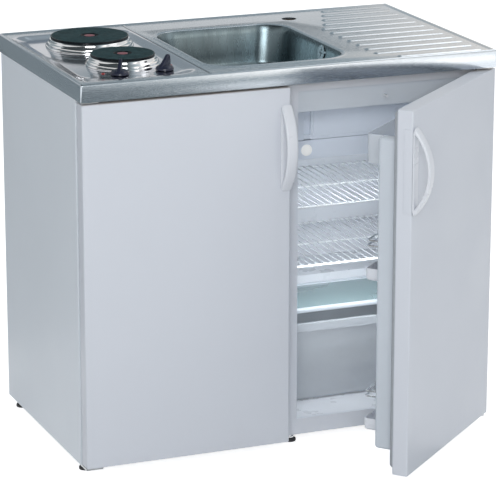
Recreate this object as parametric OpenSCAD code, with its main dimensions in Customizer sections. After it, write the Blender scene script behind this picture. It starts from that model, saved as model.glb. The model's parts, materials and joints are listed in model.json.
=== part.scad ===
// Kitchenette unit: steel worktop with a sink and two hotplates, over a cupboard and a refrigerator.
// Frame: X to the right, Y to the wall, Z up. The origin is on the floor at the middle of the wall line.

/* [Overall] */
// Width of the unit
unit_w = 1000; // [990:1:1040]
// Depth from the wall to the front edge of the worktop
unit_d = 600; // [595:1:630]
// Height of the worktop surface above the floor
unit_h = 900; // [896:1:920]
// Height of the feet under the carcass
foot_h = 22; // [18:1:28]
// Free depth behind the carcass, under the rear of the worktop
back_gap = 24; // [20:1:30]

/* [Worktop] */
// Height of the folded edge of the worktop
skirt_h = 38; // [34:1:44]
// Thickness of the worktop sheet
sheet_t = 1; // [0.8:0.1:1.5]
// Height of the raised rim bead
bead_h = 3; // [2:0.5:5]
// Width of the raised rim bead
bead_w = 6; // [4:1:8]
// Place of the ridge between hob and sink, from the middle
ridge_x = -190; // [-192:0.5:-187]
// Diameter of the hole for the tap
tap_hole_d = 35; // [32:1:36]
// Place of the tap hole to the right of the middle
tap_x = 206; // [202:1:212]
// Place of the tap hole in front of the wall
tap_y = 80; // [76:1:84]

/* [Drainer] */
// Number of drainer ribs
rib_n = 12; // [8:1:12]
// Width of a rib
rib_w = 16; // [10:1:20]
// Height of a rib
rib_h = 3; // [2:0.5:4]

/* [Bowl] */
// Width of the bowl at the worktop
bowl_w = 330; // [310:1:332]
// Distance from the front edge of the worktop to the bowl
bowl_front = 70; // [68:1:90]
// Distance from the wall to the rear of the bowl
bowl_back = 118; // [116:1:122]
// How deep the bowl is
bowl_depth = 100; // [90:1:104]
// Corner radius of the bowl
bowl_r = 65; // [50:1:80]
// How far the bowl walls lean inwards
bowl_lean = 15; // [8:1:20]

/* [Hob] */
// How deep the hob tray is pressed in
tray_depth = 10; // [7:1:12]
// Width of the hob tray at the worktop
tray_w = 289; // [286:1:290]
// Diameter of the rear hotplate in a tray of the usual length
rear_plate_d = 180; // [170:1:182]
// Diameter of the front hotplate in a tray of the usual length
front_plate_d = 145; // [135:1:150]
// Height of a hotplate above the tray floor
plate_h = 26; // [22:1:28]
// Diameter of a control knob
knob_d = 41; // [36:1:43]
// Height of a control knob
knob_h = 34; // [28:1:38]

/* [Doors] */
// Thickness of a door
door_t = 37; // [34:1:39]
// Half of the gap between the two doors
door_half_gap = 8; // [6:1:9]
// Angle at which the refrigerator door stands open
door_open = 42; // [30:1:44]
// Radius of the door hinge pins
hinge_pin_r = 4; // [3:0.5:5]
// Height of a door handle
handle_h = 204; // [190:1:220]
// How far a door handle stands out
handle_out = 43; // [40:1:50]

/* [Refrigerator] */
// Thickness of the refrigerator wall on the cupboard side
fridge_wall_l = 29; // [26:1:34]
// Thickness of the refrigerator wall on the hinge side
fridge_wall_r = 39; // [37:1:42]
// Thickness of the refrigerator roof
fridge_roof = 12; // [10:1:14]
// Thickness of the refrigerator back
fridge_back = 66; // [60:1:72]
// Height of the freezer box
freezer_h = 85; // [75:1:92]
// Height of the upper wire shelf
upper_shelf_z = 534; // [515:1:545]
// Height of the lower wire shelf
lower_shelf_z = 393; // [375:1:405]
// Height of the glass shelf over the drawer
glass_z = 283; // [275:1:290]
// Height of the crisper drawer
drawer_h = 190; // [160:1:196]

/* [Hidden] */
$fn = 64;
eps = 0.01;

// Overall planes
x_left = -unit_w / 2;
x_right = unit_w / 2;
body_top = unit_h - skirt_h;
body_back = -back_gap;
carcass_front = -(unit_d - 44);
frame_front = -(unit_d - 50);
frame_t = 10;
board_t = 18;
side_inset = 1;
x_body_l = x_left + side_inset;
x_body_r = x_right - side_inset;

// Drainer, and the square that stiffens the top around the tap hole
tap_plate = 44;
tap_plate_under = 4;
rib_first = 30;
rib_pitch = (unit_d - rib_first - 25.5) / (rib_n - 1);
rib_x0 = 226;

// Doors
door_face = -(unit_d - 3);
door_back = door_face + door_t;
door_z0 = foot_h + 2;
door_z1 = body_top - 6;
door_side_gap = 3;
door_skin = 1.2;
door_r = 4;
pin_back = 22;
pin_y = door_face + pin_back;
cup_pin_x = x_left + door_side_gap + 12;
fridge_pin_x = x_right - door_side_gap - 17;
pin_clear = 0.05;
pin_len = 16;
hinge_t = 4;
cup_door_x = [x_left + door_side_gap, -door_half_gap];
fridge_door_x = [door_half_gap, x_right - door_side_gap];

// Handles
handle_w = 26;
handle_top = door_z1 - 34;
handle_z0 = handle_top - handle_h;
grip_gap_z = [handle_z0 + 20, handle_top - 20];
grip_gap_out = 30;
handle_wrap = 1.5;

// Hob
tray_x = [x_left + 13, x_left + 13 + tray_w];
tray_y = [-(unit_d - 33), -42];
tray_floor_x = [tray_x[0] + 37, tray_x[1] - 24];
tray_floor_y = [tray_y[0] + 61, tray_y[1] - 11];
tray_z = unit_h - tray_depth;
hob_k = (tray_y[1] - tray_y[0]) / 525;
rear_r = rear_plate_d * hob_k / 2;
front_r = front_plate_d * hob_k / 2;
rear_plate = [x_left + 174, tray_y[1] - 114 * hob_k];
front_plate = [x_left + 177, tray_y[1] - 331 * hob_k];
plate_foot = 30;
plate_under = 7;
plate_rim_h = 6;
ring_out = 12;
ring_t = 1;
stud_r = 4;
clamp_w = 20;
clamp_t = 2;
clamp_z = tray_z - 20;
left_knob_at = [x_left + 133, tray_y[1] - 436 * hob_k];
right_knob_at = [x_left + 242, tray_y[1] - 426 * hob_k];
left_knob_turn = 62;
right_knob_turn = 35;
grip_w = 9;
shaft_r = 3;
shaft_below = 18;
shaft_above = 16;
regulator = [38, 38, 32];
lamp_spots = [
  [x_left + 102, tray_y[1] - 413 * hob_k],
  [x_left + 271, tray_y[1] - 384 * hob_k]
];
lamp_r = 4;
underpan_h = 56;

// Bowl
bowl_x = [-bowl_w / 2, bowl_w / 2];
bowl_y = [-(unit_d - bowl_front), -bowl_back];
bowl_mid_y = (bowl_y[0] + bowl_y[1]) / 2;
bowl_floor = unit_h - bowl_depth;
bowl_flange = 12;
bowl_lean_a = atan(bowl_lean / (unit_h - sheet_t - bowl_floor));
waste_at = [-85, bowl_mid_y - 6];
waste_r = 26;
waste_body_r = 34;
waste_body_h = 34;
plug_r = 20;
trap_z = [bowl_floor - 210, bowl_floor - 115];
outlet_r = 20;
outlet_z = bowl_floor - 135;
overflow_at = [bowl_mid_y - 53, unit_h - 22];
overflow_r = 14;
hose_r = 8;
hose_z = bowl_floor + 15;
hose_x = bowl_w / 2 + 13;
hose_y = -(bowl_back - 3);

// Cupboard
partition_x = [-17, side_inset];
partition_top = bowl_floor - sheet_t - 9;
rear_rail_h = 32;
rear_rail_y = -62;
front_rail_h = 20;
back_t = 6;
shelf_z = 345;
wall_bolt_r = 4;
wall_bolt_x = x_right - 60;

// Refrigerator
fridge_x = [side_inset, x_body_r];
casing_t = 1;
liner_t = 1.5;
casing_top = bowl_floor - sheet_t - 3;
frame_back = frame_front + frame_t;
cav_x = [fridge_x[0] + fridge_wall_l, fridge_x[1] - fridge_wall_r];
cav_z0 = foot_h + 38;
cav_top = casing_top - fridge_roof;
cav_back = body_back - fridge_back;
hump_y = -245;
hump_z = 306;
niche_y = hump_y + 29;
niche_z = hump_z - 29;
frame_open_top = body_top - 28;
inner_front = frame_front + 104;
rib_t = 6;
rib_reach = 8;
fit = 0.3;
switch_x = 245;
switch_z = casing_top + 11;
switch_r = 3;
freezer_hang = 6;
freezer_z = [cav_top - freezer_hang - freezer_h, cav_top - freezer_hang];
flap_axis = [inner_front + 1, freezer_z[0] + 7];
flap_pin_r = 2.5;
housing_h = 46;
housing_face = inner_front + 1;
lamp_at = [cav_x[0] + 66, freezer_z[0] - 24];
dial_at = [cav_x[1] - 80, freezer_z[0] - 24];

// Door racks and liner, in the closed place of the door
dyke_out = 60;
rack_out = 100;
dyke_x = [fridge_door_x[0] + 37, fridge_door_x[1] - 59];
dyke_z = [65, cav_top - 4];
dyke_w = 30;
rack_x = [dyke_x[0] + dyke_w + fit, dyke_x[1] - dyke_w - fit];
rack_z = [94, 444];
rack_h = 28;
rack_rail_up = 80;
rack_rail_r = 2;
rack_t = 2.5;
balcony_h = 70;
balcony_z = dyke_z[1] - balcony_h - 2;

// ---------- helpers ----------

// Box between two opposite corners
module block(a, b) { translate(a) cube(b - a); }

// Flat rectangle with round corners
module rounded(x, y, r) {
  translate([x[0] + r, y[0]]) square([x[1] - x[0] - 2 * r, y[1] - y[0]]);
  translate([x[0], y[0] + r]) square([x[1] - x[0], y[1] - y[0] - 2 * r]);
  for (cx = [x[0] + r, x[1] - r], cy = [y[0] + r, y[1] - r]) translate([cx, cy]) circle(r);
}

// Flat bar with round ends, along X
module stadium(x, y, w) {
  translate([x[0] + w / 2, y - w / 2]) square([x[1] - x[0] - w, w]);
  for (cx = [x[0] + w / 2, x[1] - w / 2]) translate([cx, y]) circle(w / 2);
}

// Round bar from a point, along X, Y or Z
module rod_x(p, l, r) { translate(p) rotate([0, 90, 0]) cylinder(h = l, r = r); }
module rod_y(p, l, r) { translate(p) rotate([-90, 0, 0]) cylinder(h = l, r = r); }
module rod_z(p, l, r) { translate(p) cylinder(h = l, r = r); }

// Outline in Y and Z, drawn out along X
module along_x(x, points) {
  translate([x[0], 0, 0]) rotate([90, 0, 90]) linear_extrude(x[1] - x[0]) polygon(points);
}

// Thin slab with its own radius at each corner: front left, front right, rear right, rear left
module corner_slab(x, y, z, r) {
  corners = [
    [x[0] + r[0], y[0] + r[0]], [x[1] - r[1], y[0] + r[1]],
    [x[1] - r[2], y[1] - r[2]], [x[0] + r[3], y[1] - r[3]]
  ];
  for (i = [0 : 3]) translate([corners[i][0], corners[i][1], z]) cylinder(h = eps, r = r[i], $fn = 32);
}

// Straight-sided pan whose walls lean in by lean from top to bottom
module pan(x, y, z, lean, r) {
  low = r - lean / 2;
  hull() {
    corner_slab(x, y, z[1] - eps, [r, r, r, r]);
    corner_slab([x[0] + lean, x[1] - lean], [y[0] + lean, y[1] - lean], z[0], [low, low, low, low]);
  }
}

// Pose of the refrigerator door, from closed to where it stands
module on_fridge_door() {
  translate([fridge_pin_x, pin_y, 0]) rotate([0, 0, door_open])
    translate([-fridge_pin_x, -pin_y, 0]) children();
}

// ---------- worktop and sink ----------

module tray_recess(drop) hull() {
  corner_slab(tray_x, tray_y, unit_h - eps - drop, [14, 60, 40, 40]);
  corner_slab(tray_floor_x, tray_floor_y, tray_z - drop, [75, 55, 32, 32]);
}

module worktop_holes() {
  translate([0, 0, body_top]) linear_extrude(skirt_h + 1) rounded(bowl_x, bowl_y, bowl_r);
  rod_z([rear_plate[0], rear_plate[1], body_top], skirt_h, rear_r - plate_under + 1);
  rod_z([front_plate[0], front_plate[1], body_top], skirt_h, front_r - plate_under + 1);
  for (p = [left_knob_at, right_knob_at]) rod_z([p[0], p[1], body_top], skirt_h, shaft_r + 1);
  for (p = lamp_spots) rod_z([p[0], p[1], body_top], skirt_h, lamp_r);
  rod_z([tap_x, -tap_y, body_top], skirt_h + 1, tap_hole_d / 2);
}

module rim_beads() {
  translate([0, 0, unit_h - eps]) linear_extrude(bead_h + eps) difference() {
    translate([x_left + 3, -unit_d + 3]) square([unit_w - 6, unit_d - 6]);
    translate([x_left + 3 + bead_w, -unit_d + 2]) square([unit_w - 6 - 2 * bead_w, unit_d - 5 - bead_w]);
  }
  translate([ridge_x - 2, -(unit_d - 15), unit_h - eps]) cube([4, unit_d - 25, bead_h / 2]);
}

// The four rear ribs end short, to leave room for the tap, and so does the front one
module drainer_ribs() {
  for (i = [0 : rib_n - 1]) {
    short = i < 4 ? 84 - i * 20 : i == rib_n - 1 ? 36 : 0;
    translate([0, -rib_first - i * rib_pitch, unit_h - eps]) linear_extrude(rib_h + eps)
      stadium([rib_x0 + short, x_right - 26], 0, rib_w);
  }
}

module worktop() color("lightsteelblue") {
  difference() {
    union() {
      difference() {
        block([x_left, -unit_d, body_top], [x_right, 0, unit_h]);
        block([x_left + sheet_t, -unit_d + sheet_t, body_top - 1],
              [x_right - sheet_t, -sheet_t, unit_h - sheet_t]);
        tray_recess(0);
      }
      difference() {
        tray_recess(sheet_t);
        tray_recess(0);
      }
      block([tap_x - tap_plate / 2, -tap_y - tap_plate / 2, unit_h - tap_plate_under],
            [tap_x + tap_plate / 2, -tap_y + tap_plate / 2, unit_h - sheet_t]);
    }
    worktop_holes();
  }
  rim_beads();
  drainer_ribs();
}

module worktop_frame() color("peru") {
  edge = sheet_t + 0.5;
  z0 = body_top;
  z1 = unit_h - sheet_t;
  front = -unit_d + edge;
  block([x_left + edge, front, z0], [x_right - edge, tray_y[0] - 4, z1]);
  block([ridge_x + 5, tray_y[0] - 4, z0], [x_right - edge, bowl_y[0] - bowl_flange - 1, z1]);
  block([x_left + edge, tray_y[0] - 4, z0], [ridge_x + 5, carcass_front + 14, tray_z - sheet_t - 1]);
  block([x_left + edge, carcass_front + 14, z0], [tray_x[0] - 2, -edge, z1]);
  block([x_right - 28, bowl_y[0] - bowl_flange - 1, z0], [x_right - edge, -edge, z1]);
  block([tray_x[0] - 2, tray_y[1] + 2, z0], [x_right - 28, -edge, z1]);
}

module sink_bowl() color("lightslategray") {
  z1 = unit_h - sheet_t;
  under = [bowl_floor - sheet_t, z1];
  difference() {
    union() {
      translate([0, 0, z1 - sheet_t]) linear_extrude(sheet_t)
        rounded([bowl_x[0] - bowl_flange, bowl_x[1] + bowl_flange],
                [bowl_y[0] - bowl_flange, bowl_y[1] + bowl_flange], bowl_r + bowl_flange);
      pan([bowl_x[0] - sheet_t, bowl_x[1] + sheet_t], [bowl_y[0] - sheet_t, bowl_y[1] + sheet_t],
          under, bowl_lean, bowl_r + sheet_t);
    }
    pan(bowl_x, bowl_y, [bowl_floor, z1 + eps], bowl_lean, bowl_r);
    rod_z([waste_at[0], waste_at[1], bowl_floor - 5], 10, waste_r);
    on_overflow() translate([0, 0, -6]) cylinder(h = 12, r = overflow_r);
  }
}

// Place on the right inner wall of the bowl, with +Z pointing into the bowl
module on_overflow() {
  down = unit_h - sheet_t - overflow_at[1];
  translate([bowl_x[1] - down * tan(bowl_lean_a), overflow_at[0], overflow_at[1]])
    rotate([0, bowl_lean_a - 90, 0]) children();
}

module overflow_rosette() color("silver") on_overflow() difference() {
  union() {
    translate([0, 0, 0.1]) cylinder(h = 2, r = overflow_r + 4);
    translate([0, 0, -3]) cylinder(h = 4, r = overflow_r - 0.5);
  }
  for (a = [0, 90]) rotate([0, 0, a]) translate([-9, -1.5, -4]) cube([18, 3, 8]);
}

module overflow_body() {
  top = overflow_at[1] + overflow_r + 2;
  face = bowl_x[1] + 2 * sheet_t;
  difference() {
    block([face, overflow_at[0] - 18, hose_z - hose_r - 2], [face + 22, overflow_at[0] + 18, top]);
    block([face + 3, overflow_at[0] - 15, hose_z - hose_r], [face + 19, overflow_at[0] + 15, top - 3]);
    rod_x([face - 1, overflow_at[0], overflow_at[1]], 10, overflow_r - 1);
    rod_y([hose_x, overflow_at[0] + 10, hose_z], 10, hose_r - 2);
  }
}

module overflow_hose() {
  start = overflow_at[0] + 18;
  back_z = waste_body_z() + waste_body_h / 2;
  rod_y([hose_x, start, hose_z], hose_y - start, hose_r);
  translate([hose_x, hose_y, hose_z]) sphere(hose_r);
  rod_x([waste_at[0], hose_y, hose_z], hose_x - waste_at[0], hose_r);
  translate([waste_at[0], hose_y, hose_z]) sphere(hose_r);
  rod_z([waste_at[0], hose_y, back_z], hose_z - back_z, hose_r);
  translate([waste_at[0], hose_y, back_z]) sphere(hose_r);
  rod_y([waste_at[0], waste_at[1] + waste_body_r, back_z], hose_y - waste_at[1] - waste_body_r, hose_r);
}

module overflow_pipe() color("whitesmoke") {
  overflow_body();
  overflow_hose();
}

function waste_body_z() = bowl_floor - sheet_t - waste_body_h;

module waste_strainer() color("silver") translate([waste_at[0], waste_at[1], 0]) {
  difference() {
    union() {
      rod_z([0, 0, bowl_floor], 2, waste_r + 9);
      rod_z([0, 0, bowl_floor - 14], 14, waste_r - 0.5);
    }
    rod_z([0, 0, bowl_floor - 11], 20, plug_r + 0.5);
    for (a = [0 : 60 : 300]) rotate([0, 0, a]) rod_z([11, 0, bowl_floor - 20], 20, 4);
    rod_z([0, 0, bowl_floor - 20], 20, 3);
  }
}

module waste_body() color("whitesmoke") translate([waste_at[0], waste_at[1], 0]) difference() {
  rod_z([0, 0, waste_body_z()], waste_body_h, waste_body_r);
  rod_z([0, 0, waste_body_z() + 6], waste_body_h, waste_r);
  rod_z([0, 0, waste_body_z() - 1], 10, outlet_r - 3);
}

module waste_plug() color("dimgray") translate([waste_at[0], waste_at[1], 0]) {
  rod_z([0, 0, bowl_floor + 2 + fit], 4, plug_r + 4);
  rod_z([0, 0, bowl_floor - 8], 11, plug_r);
  difference() {
    rod_y([0, -2, bowl_floor + 13], 4, 8);
    rod_y([0, -3, bowl_floor + 13], 6, 5);
    block([-9, -3, bowl_floor], [9, 3, bowl_floor + 6]);
  }
}

module bottle_trap() color("whitesmoke") translate([waste_at[0], waste_at[1], 0]) difference() {
  union() {
    rod_z([0, 0, trap_z[1]], waste_body_z() - trap_z[1], outlet_r - 3);
    rod_z([0, 0, trap_z[0]], trap_z[1] - trap_z[0], waste_body_r);
    rod_z([0, 0, trap_z[1] - 4], 12, outlet_r + 6);
    rod_z([0, 0, trap_z[0] - 5], 10, waste_body_r + 3);
  }
  rod_z([0, 0, trap_z[0] + 3], trap_z[1] - trap_z[0] - 12, waste_body_r - 3);
  rod_z([0, 0, trap_z[1] - 20], 200, outlet_r - 6);
}

// Pipe from the trap through the back panel, ending in a spigot for the house drain
module trap_outlet() color("whitesmoke") translate([waste_at[0], 0, 0]) difference() {
  start = waste_at[1] + waste_body_r;
  union() {
    rod_y([0, start, outlet_z], body_back - start, outlet_r - 1);
    rod_y([0, body_back, outlet_z], 20, outlet_r);
    rod_y([0, start, outlet_z], 18, outlet_r + 6);
  }
  rod_y([0, start - 1, outlet_z], -start, outlet_r - 3);
}

// ---------- hob ----------

module hotplate(at, r) {
  top = tray_z + plate_h;
  foot = top - plate_foot;
  r_low = r - plate_under;
  translate([at[0], at[1], 0]) {
    rotate_extrude() polygon([
      [0, top - 1.5], [14, top - 1.5], [14.5, top - 3], [20, top - 3], [21, top], [r - 2, top], [r, top - 2],
      [r, top - plate_rim_h], [r_low, top - plate_rim_h], [r_low, foot + 2], [r_low - 4, foot], [0, foot]
    ]);
    rod_z([0, 0, clamp_z - 8], foot - clamp_z + 8, stud_r);
  }
}

module rear_hotplate() color("darkslategray") hotplate(rear_plate, rear_r);

module front_hotplate() color("darkslategray") hotplate(front_plate, front_r);

// Stepped ring of sheet metal, from the tray floor up to the rim of a hotplate
module spill_ring(at, r) {
  h = plate_h - plate_rim_h;
  steps = [
    [ring_out, 0], [ring_out, 3], [ring_out - 2.5, 5], [ring_out - 3, 9],
    [4.5, 13], [3, 14], [2.5, h - 0.5], [2, h]
  ];
  outer = [for (p = steps) [r + p[0], tray_z + p[1]]];
  inner = [for (i = [len(steps) - 1 : -1 : 0])
    [r + steps[i][0] - ring_t, tray_z + max(0, steps[i][1] - ring_t)]];
  lip = [[r - plate_under + fit, tray_z + h], [r - plate_under + fit, tray_z + h - ring_t]];
  translate([at[0], at[1], 0]) rotate_extrude() polygon(concat(outer, lip, inner));
}

module rear_spill_ring() color("gainsboro") spill_ring(rear_plate, rear_r);

module front_spill_ring() color("gainsboro") spill_ring(front_plate, front_r);

module clamp(at, r) {
  reach = r + 5;
  under = tray_z - sheet_t;
  translate([at[0], at[1], 0]) difference() {
    union() {
      block([-reach, -clamp_w / 2, clamp_z], [reach, clamp_w / 2, clamp_z + clamp_t]);
      block([-reach, -clamp_w / 2, clamp_z], [-reach + clamp_t, clamp_w / 2, under]);
      block([reach - clamp_t, -clamp_w / 2, clamp_z], [reach, clamp_w / 2, under]);
    }
    rod_z([0, 0, clamp_z - 1], clamp_t + 2, stud_r + 0.5);
  }
  translate([at[0], at[1], clamp_z - 6]) difference() {
    cylinder(h = 6, r = 7.5, $fn = 6);
    translate([0, 0, -1]) cylinder(h = 8, r = stud_r);
  }
}

module hotplate_clamps() color("silver") {
  clamp(rear_plate, rear_r);
  clamp(front_plate, front_r);
}

module hob_underpan() color("silver") {
  z1 = tray_z - sheet_t;
  x = [tray_floor_x[0] + 2, tray_floor_x[1] - 2];
  y = [tray_floor_y[0] + 2, rear_plate[1] + rear_r + 2];
  difference() {
    block([x[0], y[0], z1 - underpan_h], [x[1], y[1], z1]);
    block([x[0] + 1, y[0] + 1, z1 - underpan_h + 1], [x[1] - 1, y[1] - 1, z1 + 1]);
    rod_z([x[0] + 30, y[1] - 30, z1 - underpan_h - 1], 4, 12);
  }
}

module energy_regulators() color("dimgray") {
  z1 = tray_z - sheet_t;
  for (p = [left_knob_at, right_knob_at]) difference() {
    translate([p[0], p[1], z1 - regulator[2] / 2]) cube(regulator, center = true);
    rod_z([p[0], p[1], z1 - shaft_below - 2], shaft_below + 3, shaft_r + pin_clear);
  }
}

module shaft(at) {
  rod_z([at[0], at[1], tray_z - sheet_t - shaft_below], shaft_below + sheet_t + shaft_above, shaft_r);
}

module left_shaft() color("silver") shaft(left_knob_at);

module right_shaft() color("silver") shaft(right_knob_at);

// Round base with an upright grip whose high end points turn degrees away from +X
module knob(at, turn) {
  r = knob_d / 2;
  top = knob_h - 1;
  translate([at[0], at[1], tray_z + 1]) difference() {
    union() {
      rotate_extrude() polygon([[0, 0], [r - 1, 0], [r, 1], [r - 0.5, 6], [r - 3, 9], [r - 9, 11], [0, 12]]);
      rotate([90, 0, turn]) translate([0, 0, -grip_w / 2]) linear_extrude(grip_w)
        polygon([[-18, 6], [18, 6], [18, top - 4], [15, top], [8, top], [-8, 17], [-17, 11]]);
    }
    rod_z([0, 0, -1], shaft_above, shaft_r);
  }
}

module left_knob() color("darkslateblue") knob(left_knob_at, left_knob_turn);

module right_knob() color("darkslateblue") knob(right_knob_at, right_knob_turn);

module pilot_lamps() color("crimson") for (p = lamp_spots) {
  rod_z([p[0], p[1], tray_z], 1.5, lamp_r + 1);
  rod_z([p[0], p[1], tray_z - 14], 14, lamp_r - 0.1);
}

module terminal_box() color("lightgray") {
  y1 = body_back - back_t;
  x = x_left + 60;
  z = body_top - 222;
  difference() {
    block([x, y1 - 34, z], [x + 80, y1, z + 80]);
    block([x + 3, y1 - 31, z + 3], [x + 77, y1 - 3, z + 77]);
    rod_z([x + 40, y1 - 17, z - 10], 20, 7);
  }
  difference() {
    rod_z([x + 40, y1 - 17, z - 12], 12, 11);
    rod_z([x + 40, y1 - 17, z - 13], 14, 6);
  }
}

// ---------- cupboard ----------

module side_panel() color("gainsboro")
  block([x_body_l, carcass_front, foot_h], [x_body_l + board_t, body_back, body_top]);

module partition() color("gainsboro")
  block([partition_x[0], carcass_front, foot_h], [partition_x[1], body_back - back_t, partition_top]);

module base_panel() color("gainsboro")
  block([x_body_l + board_t, carcass_front, foot_h], [partition_x[0], body_back - back_t, foot_h + board_t]);

module back_panel() color("lightgray") difference() {
  block([x_body_l + board_t, body_back - back_t, foot_h],
        [partition_x[1], body_back, body_top - rear_rail_h]);
  rod_y([waste_at[0], body_back - back_t - 1, outlet_z], back_t + 2, outlet_r + 8);
  rod_y([waste_at[0] - 90, body_back - back_t - 1, outlet_z], back_t + 2, 30);
  rod_y([x_left + 100, body_back - back_t - 1, body_top - 262], back_t + 2, 12);
}

module top_rails() color("gainsboro") {
  x = [x_body_l + board_t, x_body_r - casing_t];
  block([x[0], carcass_front, body_top - front_rail_h], [partition_x[1], carcass_front + 15, body_top]);
  difference() {
    block([x[0], rear_rail_y, body_top - rear_rail_h], [x[1], body_back, body_top]);
    for (s = [-1, 1]) rod_y([s * wall_bolt_x, rear_rail_y - 1, body_top - rear_rail_h / 2], 64, wall_bolt_r);
  }
}

module cupboard_shelf() color("gainsboro") {
  x = [x_body_l + board_t, partition_x[0]];
  block([x[0] + 1, carcass_front + 40, shelf_z], [x[1] - 1, body_back - back_t - 20, shelf_z + 16]);
  for (px = [x[0], x[1] - 8], py = [carcass_front + 80, body_back - back_t - 80])
    rod_x([px, py, shelf_z - 3], 8, 2.9);
}

// Plan of a door with rounded corners
module door_plan(x) rounded(x, [door_face, door_back], door_r);

module door_shell(x, pin_x) difference() {
  translate([0, 0, door_z0]) linear_extrude(door_z1 - door_z0) door_plan(x);
  block([x[0] + door_skin, door_face + door_skin, door_z0 + door_skin],
        [x[1] - door_skin, door_back + 1, door_z1 - door_skin]);
  rod_z([pin_x, pin_y, door_z0 - 1], door_z1 - door_z0 + 2, hinge_pin_r + pin_clear);
}

module cupboard_door_shell() color("lavender") door_shell(cup_door_x, cup_pin_x);

module cupboard_door_liner() color("white") difference() {
  x = cup_door_x;
  s = door_skin;
  union() {
    block([x[0] + s, door_back - 3, door_z0 + s], [x[1] - s, door_back - 1, door_z1 - s]);
    for (z = [door_z0 + s, door_z1 - s - 24])
      block([cup_pin_x - 9, pin_y - 10, z], [cup_pin_x + 40, door_back - 3, z + 24]);
  }
  rod_z([cup_pin_x, pin_y, door_z0 - 1], door_z1 - door_z0 + 2, hinge_pin_r + pin_clear);
}

// Bow handle on the free edge of a door; dir is +1 where the door runs to the right of its free edge
module handle(edge_x, dir) {
  bow_h = handle_h;
  bow_r = (pow(bow_h / 2, 2) + pow(handle_out, 2)) / (2 * handle_out);
  gap_h = grip_gap_z[1] - grip_gap_z[0];
  gap_r = (pow(gap_h / 2, 2) + pow(grip_gap_out, 2)) / (2 * grip_gap_out);
  gap_z = (grip_gap_z[0] + grip_gap_z[1]) / 2;
  x0 = dir > 0 ? edge_x - handle_wrap : edge_x + handle_wrap - handle_w;
  wrap_x = dir > 0 ? edge_x - handle_wrap : edge_x;
  difference() {
    translate([x0, 0, 0]) rotate([90, 0, 90]) linear_extrude(handle_w) difference() {
      intersection() {
        translate([door_face - handle_out + bow_r, handle_z0 + bow_h / 2]) circle(bow_r, $fn = 96);
        translate([door_face - handle_out, handle_z0]) square([handle_out, bow_h]);
      }
      intersection() {
        translate([door_face - 5 - grip_gap_out + gap_r, gap_z]) circle(gap_r, $fn = 96);
        translate([door_face - 5 - grip_gap_out, grip_gap_z[0]]) square([grip_gap_out, gap_h]);
      }
    }
  }
  block([wrap_x, door_face, handle_z0 + 8], [wrap_x + handle_wrap, door_face + 20, handle_top - 8]);
}

module cupboard_handle() color("whitesmoke") handle(cup_door_x[1], -1);

// Hinge plate and pin at the bottom and at the top of a door
module hinge_pair(pin_x, x, front) {
  block([x[0], pin_y - 14, foot_h - hinge_t], [x[1], front + 18, foot_h]);
  rod_z([pin_x, pin_y, foot_h], pin_len, hinge_pin_r);
  block([x[0], pin_y - 14, body_top - hinge_t], [x[1], front, body_top]);
  rod_z([pin_x, pin_y, body_top - hinge_t - pin_len], pin_len, hinge_pin_r);
}

// Hinges of the cupboard door, and the magnet catch that holds the door shut
module cupboard_fittings() color("silver") {
  hinge_pair(cup_pin_x, [x_left + 4, x_left + 44], carcass_front);
  z = body_top - front_rail_h;
  block([partition_x[0] - 24, carcass_front, z - 14], [partition_x[0], carcass_front + 14, z]);
}

// ---------- refrigerator ----------

module fridge_casing() color("gainsboro") {
  t = casing_t;
  y0 = frame_back;
  y1 = body_back;
  block([fridge_x[0], y0, foot_h], [fridge_x[0] + t, y1, casing_top]);
  block([fridge_x[1] - t, y0, foot_h], [fridge_x[1], y1, body_top]);
  x = [fridge_x[0] + t, fridge_x[1] - t];
  block([x[0], y0, casing_top - t], [x[1], y1, casing_top]);
  block([x[0], y1 - t, niche_z], [x[1], y1, casing_top - t]);
  block([x[0], niche_y, niche_z], [x[1], y1 - t, niche_z + t]);
  block([x[0], niche_y, foot_h + t], [x[1], niche_y + t, niche_z]);
  block([x[0], y0, foot_h], [x[1], niche_y + t, foot_h + t]);
}

// Side outline of the cold space, grown by g
function cavity_outline(g) = [
  [frame_back, cav_z0 - g], [hump_y + g, cav_z0 - g], [hump_y + g, hump_z - g], [cav_back + g, hump_z - g],
  [cav_back + g, cav_top + g], [frame_back, cav_top + g]
];

// The same outline reaching 1 mm past the front, to cut with
function past_front(outline) = [for (p = outline) p[0] == frame_back ? [p[0] - 1, p[1]] : p];

module fridge_foam() color("khaki") difference() {
  t = casing_t;
  y1 = body_back - t;
  along_x([fridge_x[0] + t, fridge_x[1] - t], [
    [frame_back, foot_h + t], [niche_y, foot_h + t], [niche_y, niche_z + t], [y1, niche_z + t],
    [y1, casing_top - t], [frame_back, casing_top - t]
  ]);
  along_x([cav_x[0] - liner_t, cav_x[1] + liner_t], past_front(cavity_outline(liner_t)));
}

// Moulded rails on both side walls that carry a shelf whose underside is at z
module wall_rails(z, y) {
  for (x = [cav_x[0], cav_x[1] - rib_reach]) block([x, y[0], z - rib_t], [x + rib_reach, y[1], z]);
}

module fridge_liner() color("white") {
  difference() {
    along_x([cav_x[0] - liner_t, cav_x[1] + liner_t], cavity_outline(liner_t));
    along_x(cav_x, past_front(cavity_outline(0)));
  }
  wall_rails(upper_shelf_z - fit - 4, [inner_front + 6, cav_back]);
  wall_rails(lower_shelf_z - fit - 4, [inner_front + 6, cav_back]);
  wall_rails(glass_z - 2, [inner_front + 2, hump_y]);
  for (x = [cav_x[0] + 60, cav_x[1] - 68]) block([x, inner_front + 20, cav_z0], [x + 8, hump_y, cav_z0 + 2]);
}

module front_frame() color("whitesmoke") difference() {
  block([fridge_x[0], frame_front, foot_h], [fridge_x[1], frame_back, body_top]);
  block([cav_x[0], frame_front - 1, cav_z0], [cav_x[1], frame_back + 1, frame_open_top]);
}

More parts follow.
